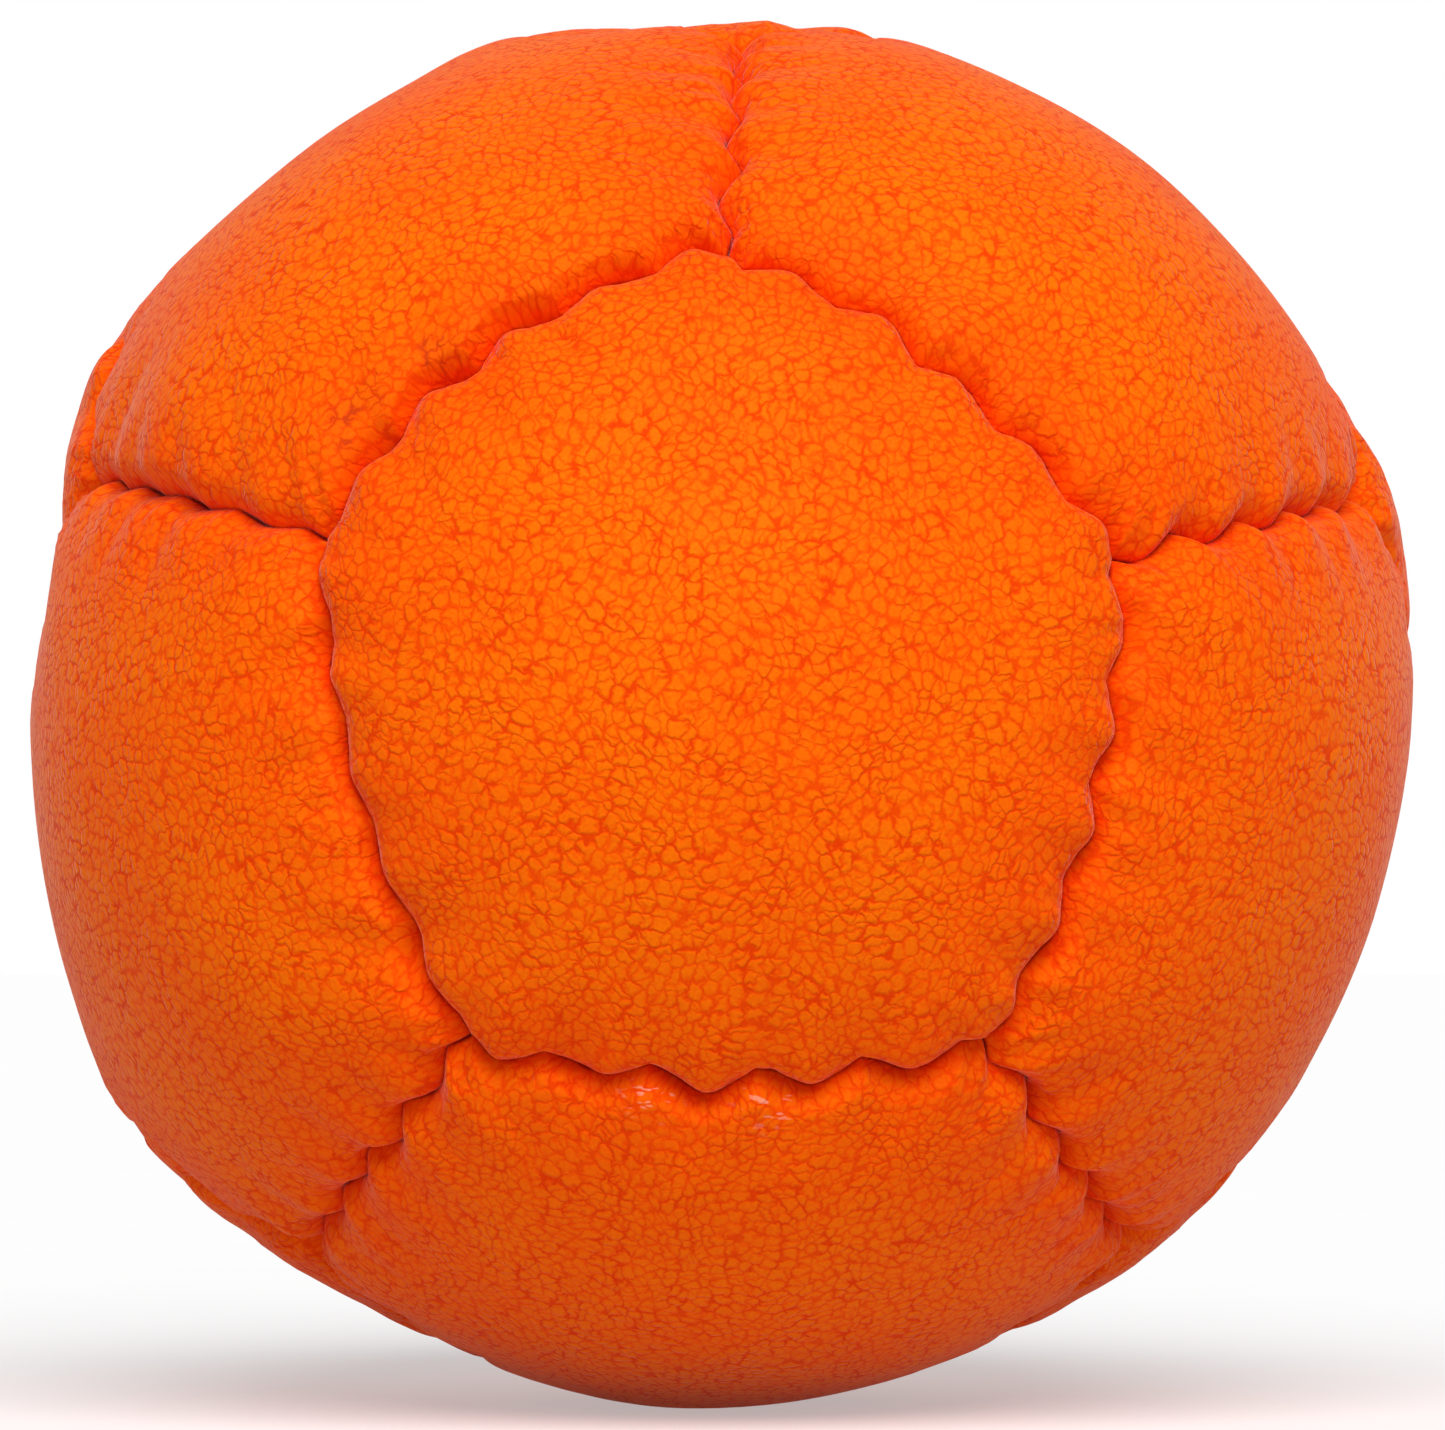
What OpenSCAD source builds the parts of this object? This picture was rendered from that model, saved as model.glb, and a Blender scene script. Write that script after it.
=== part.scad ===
// Soft lacrosse training ball: twelve pentagonal panels of grained synthetic leather,
// sewn inside out along their turned-in edges and stuffed with a firm granular filling.
// The origin is the centre of the ball, the front panel faces -Y and has a corner at the top.

/* [Ball] */
// Diameter of the ball over the crowns of its panels
ball_d = 64; // [58:0.5:76]
// Height of a panel's crown over the shoulder beside its seams
panel_puff = 1.1; // [0.4:0.1:1.8]

/* [Seams] */
// Depth of the rolled edge, from the shoulder down to the seam line
roll_depth = 1.5; // [0.9:0.1:2.2]
// Width of the rolled edge, from the seam line to the shoulder
roll_w = 2.2; // [1.9:0.1:3.4]
// Number of stitches along one side of a panel
stitches = 5; // [3:1:6]
// Swing of the seam to either side between two stitches
scallop = 0.45; // [0:0.05:0.7]
// Extra depth of the seam line where a stitch pulls it in
stitch_pull = 0.3; // [0:0.05:0.5]
// Outward bow of the front panel's sides, anticlockwise from its upper right side
front_bow = [0.5, 1.7, 0.4, 0.6, 0.9]; // [0:0.1:2.2]
// Drift of the front panel's corners to the right, anticlockwise from its top corner
front_drift_x = [0.2, 0.1, -0.1, 0.7, -0.9]; // [-1.2:0.1:1.2]
// Drift of the front panel's corners upwards, anticlockwise from its top corner
front_drift_z = [1, 1, 0, -0.4, 0]; // [-1.2:0.1:1.2]
// Drift of the next five corners round the ball, anticlockwise from its top one
ring_drift = [-1, -1, -0.8, 0.6, 0]; // [-1.2:0.1:1.2]

/* [Leather] */
// Thickness of the synthetic leather
skin_t = 1.2; // [0.9:0.1:1.5]
// Height of the seam allowance that is turned inside the ball
allowance = 3; // [2:0.25:4.5]

/* [Thread] */
// Thickness of the sewing thread
thread_d = 0.4; // [0.25:0.05:0.6]
// Depth of the stitches below the seam line
stitch_depth = 1.2; // [1:0.1:1.6]
// Room between a stitch and the allowance that it lies on
thread_gap = 0.02; // [0.01:0.01:0.1]

/* [Filling] */
// Room between the filling and the leather or the thread
filling_gap = 0.3; // [0.2:0.05:0.5]

/* [Hidden] */

leather_colour = [0.97, 0.36, 0.03];
filling_colour = [0.80, 0.76, 0.68];
thread_colour = [0.80, 0.22, 0.02];

// The twelve panels lie on the faces of a regular dodecahedron
SIDES = 5;
SIDE_TURN = 360 / SIDES;
TOP_TURN = 90;
FACE_ANGLE = acos(1 / sqrt(5));
SIDE_ANGLE = FACE_ANGLE / 2;

ball_r = ball_d / 2;
seam_r = ball_r - panel_puff - roll_depth;
allowance_r = seam_r - allowance;
// Distance from the middle of a side to the panel's axis
side_span = seam_r * tan(SIDE_ANGLE);
// Size of the circle that the rings of a panel round off to, in front of a unit ball
ROUND_SIZE = 0.68;
// Points are kept on a fine grid, so that neighbours share theirs exactly
GRID = 0.0001;

// Points along one side of a panel: enough on the rim to draw each swing of the seam
RIM_STEPS = 4 * stitches;
SHOULDER_STEPS = 2 * stitches;

function unit(v) = v / norm(v);
function snap(v) = [for (c = v) round(c / GRID) * GRID];

// Direction at an angle from the front axis and a turn from +X towards +Z
function aim(angle, turn) = [sin(angle) * cos(turn), -cos(angle), sin(angle) * sin(turn)];

FACES = concat(
    [aim(0, 0)],
    [for (m = [0:SIDES - 1]) aim(FACE_ANGLE, TOP_TURN + (m - 0.5) * SIDE_TURN)],
    [for (m = [0:SIDES - 1]) aim(180 - FACE_ANGLE, TOP_TURN + m * SIDE_TURN)],
    [aim(180, 0)]
);
FRONT = 0;

// The neighbours of a face, anticlockwise as seen from outside
function neighbours(f) =
    let (
        n = FACES[f],
        first = [for (g = [0:len(FACES) - 1]) if (g != f && FACES[g] * n > 0) g][0],
        right = unit(FACES[first] - n * cos(FACE_ANGLE)),
        up = cross(n, right)
    )
    [for (k = [0:SIDES - 1])
        let (
            across = right * cos(k * SIDE_TURN) + up * sin(k * SIDE_TURN),
            way = n * cos(FACE_ANGLE) + across * sin(FACE_ANGLE)
        )
        [for (g = [0:len(FACES) - 1]) if (FACES[g] * way > 0.99) g][0]
    ];
NEIGHBOURS = [for (f = [0:len(FACES) - 1]) neighbours(f)];

// Turn of a direction round the front axis, and its place among five that start at a turn
function turn_of(v) = atan2(v[2], v[0]);
function place_of(v, first_turn) =
    (round((turn_of(v) - first_turn) / SIDE_TURN) + 2 * SIDES) % SIDES;

// Corner where three panels meet: five round the front panel, five in a ring behind them
// that face a little forward, and ten more on the back half
function corner(a, b, c) =
    let (
        way = unit(FACES[a] + FACES[b] + FACES[c]),
        place = place_of(way, TOP_TURN),
        drift = min(a, b, c) == FRONT ? [front_drift_x[place], 0, front_drift_z[place]] :
            way[1] < 0 ? ring_drift[place] * aim(90, turn_of(way) + 90) : [0, 0, 0]
    )
    unit(way * seam_r + drift);

// Bow of the side between two faces, positive away from the first
function bow(a, b) =
    a == FRONT ? front_bow[place_of(FACES[b], TOP_TURN - SIDE_TURN / 2)] :
    b == FRONT ? -front_bow[place_of(FACES[a], TOP_TURN - SIDE_TURN / 2)] : 0;

function arc(from, to, t) =
    let (span = acos(from * to)) (from * sin((1 - t) * span) + to * sin(t * span)) / sin(span);

// Direction of the seam on side k of a face, at the share t of its length
function seam_way(f, k, t) =
    let (
        near = NEIGHBOURS[f],
        next = near[k],
        from = corner(f, near[(k + SIDES - 1) % SIDES], next),
        to = corner(f, next, near[(k + 1) % SIDES]),
        shift = scallop * sin(360 * stitches * t) + bow(f, next) * 4 * t * (1 - t)
    )
    unit(arc(from, to, t) * seam_r + unit(FACES[next] - FACES[f]) * shift);

// The outline of a face, laid out flat in front of a unit ball
function rim(f) =
    [for (k = [0:SIDES - 1]) for (g = [0:RIM_STEPS - 1])
        let (way = seam_way(f, k, g / RIM_STEPS)) way / (way * FACES[f]) - FACES[f]];
RIMS = [for (f = [0:len(FACES) - 1]) rim(f)];

// Direction of rim point p, drawn in by a distance from the seam
function inward_way(f, p, inset) =
    let (
        share = 1 - inset / side_span,
        edge = RIMS[f][p],
        rounded = edge * share + unit(edge) * ROUND_SIZE * (1 - share)
    )
    unit(FACES[f] + rounded * share);

// Height of the leather's outer face at a distance from the seam
function roll_drop(inset) =
    inset >= roll_w ? 0 : roll_depth * (1 - sqrt(1 - pow(1 - inset / roll_w, 2)));
function skin_r(inset) = ball_r - panel_puff * pow(1 - inset / side_span, 2) - roll_drop(inset);

// The same with the pull of the stitches, at rim point p
function pulled_r(inset, p) =
    let (pull = stitch_pull * max(0, 1 - inset / roll_w))
    skin_r(inset) - pull * (1 + cos(360 * stitches * p / RIM_STEPS)) / 2;

// Rings of points round a panel, with so many points on each side
function pulled_ring(f, inset, steps) =
    [for (p = [0:RIM_STEPS / steps:SIDES * RIM_STEPS - 1])
        snap(inward_way(f, p, inset) * pulled_r(inset, p))];
function plain_ring(f, inset, steps, r) =
    [for (p = [0:RIM_STEPS / steps:SIDES * RIM_STEPS - 1]) snap(inward_way(f, p, inset) * r)];

// Triangles between a fine ring and a coarse ring nearer to the crown of a closed shell
function band(fine, fine_n, coarse, coarse_n) =
    let (m = fine_n / coarse_n)
    [for (g = [0:coarse_n - 1]) each concat(
        [for (j = [0:m - 1]) [
            fine + g * m + j,
            fine + (g * m + j + 1) % fine_n,
            coarse + (j < m / 2 ? g : g + 1) % coarse_n
        ]],
        [[fine + (g * m + ceil(m / 2)) % fine_n, coarse + (g + 1) % coarse_n, coarse + g]]
    )];
function cap(ring, n, tip) = [for (g = [0:n - 1]) [ring + g, ring + (g + 1) % n, tip]];
function turned(faces) = [for (t = faces) [t[0], t[2], t[1]]];

// Distances from the seam of the rings that shape a panel, from the seam to the crown
ROLL_INSET = 0.2 * roll_w;
SHOULDER_INSET = 0.8 * roll_w;
FLANK_INSET = side_span * 0.25;
DOME_INSET = side_span * 0.5;
CROWN_INSET = side_span * 0.78;
// Inner face of the leather, and its ring half way up the dome
LINING_INSET = skin_t;
LINING_DOME_INSET = side_span * 0.5;

// One panel: a domed pentagon of leather whose edges roll in to the seam allowance
module panel(f) {
    rim_n = SIDES * RIM_STEPS;
    shoulder_n = SIDES * SHOULDER_STEPS;
    stitch_n = SIDES * stitches;
    rings = [
        [snap(FACES[f] * skin_r(side_span))],
        pulled_ring(f, CROWN_INSET, 1),
        pulled_ring(f, DOME_INSET, stitches),
        pulled_ring(f, FLANK_INSET, stitches),
        pulled_ring(f, SHOULDER_INSET, SHOULDER_STEPS),
        pulled_ring(f, ROLL_INSET, RIM_STEPS),
        pulled_ring(f, 0, RIM_STEPS),
        plain_ring(f, 0, stitches, allowance_r),
        plain_ring(f, LINING_INSET, stitches, allowance_r),
        plain_ring(f, LINING_INSET, stitches, skin_r(LINING_INSET) - skin_t),
        plain_ring(f, LINING_DOME_INSET, 1, skin_r(LINING_DOME_INSET) - skin_t),
        [snap(FACES[f] * (skin_r(side_span) - skin_t))]
    ];
    // Index of the first point of each ring
    at = [for (i = 0, sum = 0; i < len(rings); sum = sum + len(rings[i]), i = i + 1) sum];
    outside = concat(
        cap(at[1], SIDES, at[0]),
        band(at[2], stitch_n, at[1], SIDES),
        band(at[3], stitch_n, at[2], stitch_n),
        band(at[4], shoulder_n, at[3], stitch_n),
        band(at[5], rim_n, at[4], shoulder_n),
        band(at[6], rim_n, at[5], rim_n)
    );
    inside = concat(
        band(at[6], rim_n, at[7], stitch_n),
        band(at[7], stitch_n, at[8], stitch_n),
        band(at[8], stitch_n, at[9], stitch_n),
        band(at[9], stitch_n, at[10], SIDES),
        cap(at[10], SIDES, at[11])
    );
    color(leather_colour)
        polyhedron(points = [for (ring = rings) each ring], faces = concat(turned(outside), inside));
}

module front_panel() { panel(0); }
module upper_right_panel() { panel(1); }
module upper_left_panel() { panel(2); }
module left_panel() { panel(3); }
module bottom_panel() { panel(4); }
module right_panel() { panel(5); }
module back_top_panel() { panel(6); }
module back_upper_left_panel() { panel(7); }
module back_lower_left_panel() { panel(8); }
module back_lower_right_panel() { panel(9); }
module back_upper_right_panel() { panel(10); }
module back_panel() { panel(11); }

// The packed granules: they fill every panel and leave a channel along each seam.
// The channel's straight walls clear the bow of a seam by the sagitta of half its length.
FILLING_STEPS = 2;
BOW_ROOM = max(front_bow) / pow(FILLING_STEPS, 2);
FILLING_INSET = skin_t + thread_gap + thread_d + filling_gap + BOW_ROOM;

module filling() {
    side_n = SIDES * FILLING_STEPS;
    sectors = [for (f = [0:len(FACES) - 1]) [
        [snap(FACES[f] * (skin_r(side_span) - skin_t - filling_gap))],
        plain_ring(f, LINING_DOME_INSET, 1, skin_r(LINING_DOME_INSET) - skin_t - filling_gap),
        plain_ring(f, FILLING_INSET, FILLING_STEPS, skin_r(LINING_INSET) - skin_t - filling_gap),
        plain_ring(f, FILLING_INSET, FILLING_STEPS, allowance_r - filling_gap),
        plain_ring(f, 0, FILLING_STEPS, allowance_r - filling_gap)
    ]];
    sector_n = 1 + SIDES + 3 * side_n;
    dome = 1;
    shoulder = dome + SIDES;
    wall = shoulder + side_n;
    floor_edge = wall + side_n;
    sector_faces = concat(
        cap(dome, SIDES, 0),
        band(shoulder, side_n, dome, SIDES),
        band(wall, side_n, shoulder, side_n),
        band(floor_edge, side_n, wall, side_n)
    );
    color(filling_colour)
        polyhedron(
            points = [for (sector = sectors) for (ring = sector) each ring],
            faces = [for (f = [0:len(FACES) - 1]) for (t = turned(sector_faces))
                [for (i = t) i + f * sector_n]]
        );
}

// One stitch: a straight bar of thread along the inner face of a seam allowance.
// It stops short of its holes, so that the last stitches of two sides clear each other.
STITCH_INSET = LINING_INSET + thread_gap;
STITCH_END = 1.2 * thread_d;

function stitch_points(f, k, stitch) =
    let (
        from_p = (k * stitches + stitch) * RIM_STEPS / stitches,
        to_p = (from_p + RIM_STEPS / stitches) % (SIDES * RIM_STEPS),
        mid_r = seam_r - stitch_depth,
        share = STITCH_END / norm((inward_way(f, to_p, STITCH_INSET)
            - inward_way(f, from_p, STITCH_INSET)) * mid_r)
    )
    [for (end = [share, 1 - share]) for (side = [
        [STITCH_INSET, mid_r - thread_d / 2],
        [STITCH_INSET, mid_r + thread_d / 2],
        [STITCH_INSET + thread_d, mid_r + thread_d / 2],
        [STITCH_INSET + thread_d, mid_r - thread_d / 2]
    ])
        let (from = inward_way(f, from_p, side[0]), to = inward_way(f, to_p, side[0]))
        snap((from * (1 - end) + to * end) * side[1])];

BAR_FACES = [
    [0, 2, 1], [0, 3, 2], [4, 5, 6], [4, 6, 7],
    [0, 1, 5], [0, 5, 4], [1, 2, 6], [1, 6, 5],
    [2, 3, 7], [2, 7, 6], [3, 0, 4], [3, 4, 7]
];

module seam_thread() {
    color(thread_colour)
        for (f = [0:len(FACES) - 1]) for (k = [0:SIDES - 1]) for (stitch = [0:stitches - 1]) {
            first = f < NEIGHBOURS[f][k];
            if ((stitch % 2 == 0) == first)
                polyhedron(points = stitch_points(f, k, stitch), faces = BAR_FACES);
        }
}

front_panel();
upper_right_panel();
upper_left_panel();
left_panel();
bottom_panel();
right_panel();
back_top_panel();
back_upper_left_panel();
back_lower_left_panel();
back_lower_right_panel();
back_upper_right_panel();
back_panel();
filling();
seam_thread();
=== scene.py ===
"""A soft lacrosse training ball: twelve pillowed panels of grained synthetic leather."""
import math
import bpy
import numpy as np
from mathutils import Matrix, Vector


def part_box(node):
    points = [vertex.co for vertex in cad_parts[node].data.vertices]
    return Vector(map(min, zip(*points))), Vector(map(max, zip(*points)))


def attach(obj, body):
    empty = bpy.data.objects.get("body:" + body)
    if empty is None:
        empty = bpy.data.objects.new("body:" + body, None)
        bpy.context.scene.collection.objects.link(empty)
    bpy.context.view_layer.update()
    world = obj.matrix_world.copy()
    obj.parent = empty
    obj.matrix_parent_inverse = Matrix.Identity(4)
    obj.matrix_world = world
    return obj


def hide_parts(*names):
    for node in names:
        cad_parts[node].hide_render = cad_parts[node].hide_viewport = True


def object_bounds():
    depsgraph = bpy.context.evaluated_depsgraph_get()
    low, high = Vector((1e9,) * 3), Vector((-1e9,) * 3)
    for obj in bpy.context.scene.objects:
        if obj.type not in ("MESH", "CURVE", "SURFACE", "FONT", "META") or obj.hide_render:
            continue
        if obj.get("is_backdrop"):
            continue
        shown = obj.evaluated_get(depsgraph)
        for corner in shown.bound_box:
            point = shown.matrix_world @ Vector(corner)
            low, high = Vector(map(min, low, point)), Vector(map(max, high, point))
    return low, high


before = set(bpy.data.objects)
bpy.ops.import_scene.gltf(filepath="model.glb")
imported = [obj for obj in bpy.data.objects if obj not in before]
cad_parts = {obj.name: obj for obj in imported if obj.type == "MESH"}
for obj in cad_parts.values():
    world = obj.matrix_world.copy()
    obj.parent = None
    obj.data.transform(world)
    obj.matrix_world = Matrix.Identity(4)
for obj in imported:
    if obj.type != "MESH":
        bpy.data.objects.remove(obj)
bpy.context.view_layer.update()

bl_info = {
    "name": "Lacrosse training ball",
    "version": (1, 0, 0),
    "blender": (4, 5, 0),
    "location": "3D View > Sidebar > Training ball",
    "description": "Dresses the sewn panels of a soft lacrosse training ball in grained leather",
    "category": "Object",
}

MM = 0.001
PANELS = (
    "front_panel", "upper_right_panel", "upper_left_panel", "left_panel", "bottom_panel",
    "right_panel", "back_top_panel", "back_upper_left_panel", "back_lower_left_panel",
    "back_lower_right_panel", "back_upper_right_panel", "back_panel",
)

# The twelve panels lie on the faces of a regular dodecahedron, the front one facing -Y
SIDES = 5
SIDE_TURN = 2 * math.pi / SIDES
TOP_TURN = math.pi / 2
FACE_ANGLE = math.acos(1 / math.sqrt(5))
# Size of the circle that the rings of a panel round off to, in front of a unit ball
ROUND_SIZE = 0.68
# Rings of vertices from the crown of a panel to its rim
RINGS = 84
# How the rings crowd towards the rim: the share of them that is spread evenly
EVEN_RINGS = 0.3
# The cloth that is simulated: its rings, how much larger than the ball it is, its frames, how
# much too full its edges are cut and how far in (mm), and how far a point may move (mm)
CLOTH_RINGS = 21
CLOTH_SCALE = 50
CLOTH_FRAMES = 20
CLOTH_FULLNESS = 0.08
CLOTH_FULL_WIDTH = 3.0
CLOTH_CAP = 0.6
# Rings of the hidden lining, of which every point meets a few points of the rim
LINING_RINGS = 7
# Five stitches a side give ten lobes, to one side of the seam and the other in turn
LOBES = 10
# How far from a seam, in mm, its waves and the pull of its stitches die out
WAVE_REACH = 4.0
PULL_REACH = 1.2
# How steeply the rolled edge turns in, and the leather that it takes up, for each mm of its depth
ROLL_CURVE = 2.5
ROLL_TAKEN_UP = 0.4
# The grain of each panel comes from a stretch of its own, this many mm further on
PANEL_STEP = 60.0
# How sharp the cusps between the lobes are, from 0 to 1
CUSPS = 0.6
# Scallops of the seams that are deeper or flatter than the rest, judged one by one, in mm
SCALLOPS = {(0, 1): 0.45, (0, 3): 0.2, (0, 4): 0.5, (2, 3): 0.15}
# Bulges and dents of the whole ball: turn round its outline in degrees, height and width in mm
OUTLINE_LUMPS = (
    (216.5, 1.85, 7.2), (149, 1.6, 6.8), (166, -0.55, 3.5), (18, 0.8, 9.0), (107, 1.2, 6.0),
    (342, -0.9, 7.5), (262, 0.4, 9.0), (78, 0.85, 5.0), (316, 0.35, 6.0), (2, 0.4, 5.0),
    (178, 0.3, 4.0), (292, 0.25, 5.0), (246, 0.3, 4.0),
)
# Bulges and dents inside one panel: its number, the angle and turn of the place in degrees,
# and the height and width in mm
PANEL_LUMPS = (
    (2, 58, 152, 0.7, 4.5), (1, 39, 78, -0.5, 2.0), (1, 37, 68, -0.4, 1.8),
    (0, 25, 321, -0.25, 1.6), (3, 52, 212, 0.4, 6.0), (5, 45, 10, 0.4, 4.0),
    (4, 42, 268, 0.35, 5.0), (1, 48, 50, 0.3, 6.0), (2, 40, 118, 0.3, 5.0),
)
# Pebbles of the grain across one mm
GRAIN = 1.75
# Marks of wear: the angle and turn of the spot in degrees, and its size in mm
SMUDGES = ((38.5, 144.5, 2.4), (38.0, 131.0, 1.6))
SCUFFS = ((34.2, 260.0, 1.8), (34.3, 276.5, 2.0))
# How far the marks are from the centre of the ball, in mm
SPOT_RADIUS = 30.5


def unit(v):
    return v / np.linalg.norm(v, axis=-1, keepdims=True)


def aim(angle, turn):
    """Direction at an angle from the front axis and a turn from +X towards +Z."""
    return np.array([
        math.sin(angle) * math.cos(turn), -math.cos(angle), math.sin(angle) * math.sin(turn)
    ])


FACES = np.array(
    [aim(0, 0)]
    + [aim(FACE_ANGLE, TOP_TURN + (m - 0.5) * SIDE_TURN) for m in range(SIDES)]
    + [aim(math.pi - FACE_ANGLE, TOP_TURN + m * SIDE_TURN) for m in range(SIDES)]
    + [aim(math.pi, 0)]
)


def neighbours(face):
    """The neighbours of a face, anticlockwise as seen from outside."""
    n = FACES[face]
    first = next(g for g in range(len(FACES)) if g != face and FACES[g] @ n > 0)
    right = unit(FACES[first] - n * math.cos(FACE_ANGLE))
    up = np.cross(n, right)
    ways = [
        n * math.cos(FACE_ANGLE)
        + (right * math.cos(k * SIDE_TURN) + up * math.sin(k * SIDE_TURN)) * math.sin(FACE_ANGLE)
        for k in range(SIDES)
    ]
    return [int(np.argmax(FACES @ way)) for way in ways]


NEIGHBOURS = [neighbours(face) for face in range(len(FACES))]


def hash_of(lattice, seed):
    """A fixed value from 0 to 1 for each row of three whole numbers."""
    mixed = (
        lattice[..., 0] * 73856093 ^ lattice[..., 1] * 19349663 ^ lattice[..., 2] * 83492791
    ) + seed * 2654435761
    mixed = (mixed ^ (mixed >> 13)) * 1274126177 & 0x7FFFFFFF
    return ((mixed ^ (mixed >> 16)) & 0xFFFF) / 0xFFFF


def noise(points, size, seed):
    """Smooth noise from -1 to 1, with lumps of about the given size."""
    scaled = points / size + 100
    cell = np.floor(scaled).astype(np.int64)
    part = scaled - cell
    blend = part * part * (3 - 2 * part)
    total = np.zeros(len(points))
    for corner in np.ndindex(2, 2, 2):
        weight = np.ones(len(points))
        for axis, side in enumerate(corner):
            weight = weight * (blend[:, axis] if side else 1 - blend[:, axis])
        total += weight * hash_of(cell + np.array(corner), seed)
    return total * 2 - 1


def ease(x):
    """0 up to 0, 1 from 1, and smooth between them."""
    x = np.clip(x, 0, 1)
    return x * x * (3 - 2 * x)


class BallSizes(bpy.types.PropertyGroup):
    """Sizes of the panels and their seams, which follow the solids."""

    puff: bpy.props.FloatProperty(
        name="Panel puff", description="Height of a crown over the shoulders beside the seams",
        default=1.1 * MM, unit="LENGTH")
    roll_depth: bpy.props.FloatProperty(
        name="Roll depth", description="Depth of the rolled edge, down to the seam line",
        default=1.0 * MM, unit="LENGTH")
    roll_width: bpy.props.FloatProperty(
        name="Roll width", description="Width of the rolled edge, from seam to shoulder",
        default=1.9 * MM, unit="LENGTH")
    scallop: bpy.props.FloatProperty(
        name="Scallop", description="Swing of the seams to either side at their lobes",
        default=0.35 * MM, unit="LENGTH")
    stitch_pull: bpy.props.FloatProperty(
        name="Stitch pull", description="Extra depth of the seam where a stitch pulls it in",
        default=0.6 * MM, unit="LENGTH")
    pucker: bpy.props.FloatProperty(
        name="Pucker", description="Depth of the creases that run away from the seams",
        default=0.16 * MM, unit="LENGTH")
    unevenness: bpy.props.FloatProperty(
        name="Unevenness", description="Height of the lumps of the filling under the leather",
        default=0.3 * MM, unit="LENGTH")
    skin: bpy.props.FloatProperty(
        name="Leather", description="Thickness of the leather", default=1.2 * MM, unit="LENGTH")
    allowance: bpy.props.FloatProperty(
        name="Allowance", description="Height of the turned-in edge", default=3 * MM,
        unit="LENGTH")
    front_bow: bpy.props.FloatVectorProperty(
        name="Front bow", description="Outward bow of the front panel's sides, from the upper"
        " right one anticlockwise", size=SIDES,
        default=[bow * MM for bow in (0.5, 1.7, 0.4, 0.6, 0.9)], unit="LENGTH")
    front_drift_x: bpy.props.FloatVectorProperty(
        name="Corner drift, right", description="Drift of the front panel's corners to the"
        " right, from the top one anticlockwise", size=SIDES,
        default=[drift * MM for drift in (0.2, 0.1, -0.1, 0.7, -0.9)], unit="LENGTH")
    front_drift_z: bpy.props.FloatVectorProperty(
        name="Corner drift, up", description="Drift of the front panel's corners upwards, from"
        " the top one anticlockwise", size=SIDES,
        default=[drift * MM for drift in (1.0, 1.0, 0.0, -0.4, 0.0)], unit="LENGTH")
    ring_drift: bpy.props.FloatVectorProperty(
        name="Ring drift", description="Sideways drift of the five corners behind them, from"
        " the top one anticlockwise", size=SIDES,
        default=[drift * MM for drift in (-1, -1, -0.8, 0.6, 0)], unit="LENGTH")


class BallFinish(bpy.types.PropertyGroup):
    """Colours of the leather with its painted light and shade, the filling and the thread."""

    # Painted light: the crowns of the panels are made yellower, as where light falls brightest
    crown: bpy.props.FloatVectorProperty(
        name="Crown", description="Leather colour on the crown of a panel",
        subtype="COLOR", size=3, default=(1.0, 0.128, 0.001))
    # Painted shade: towards the seams the leather is made redder, as where the panel turns into
    # shade
    margin: bpy.props.FloatVectorProperty(
        name="Margin", description="Leather colour towards the seams",
        subtype="COLOR", size=3, default=(1.0, 0.094, 0.001))
    valley: bpy.props.FloatVectorProperty(
        name="Grain valleys", description="Leather colour in the valleys of the grain",
        subtype="COLOR", size=3, default=(0.85, 0.048, 0.001))
    # Painted shade and bounced light: the leather made redder down in the seams
    seam_shade: bpy.props.FloatVectorProperty(
        name="Seam", description="Leather colour down in the seams",
        subtype="COLOR", size=3, default=(0.9, 0.04, 0.001))
    granules: bpy.props.FloatVectorProperty(
        name="Granules", description="Colour of the filling",
        subtype="COLOR", size=3, default=(0.58, 0.51, 0.39))
    thread: bpy.props.FloatVectorProperty(
        name="Thread", description="Colour of the sewing thread",
        subtype="COLOR", size=3, default=(0.60, 0.06, 0.004))


def place_of(way, first_turn):
    """Which of five places round the front axis a direction is at."""
    turn = math.atan2(way[2], way[0])
    return round((turn - first_turn) / SIDE_TURN) % SIDES


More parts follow.
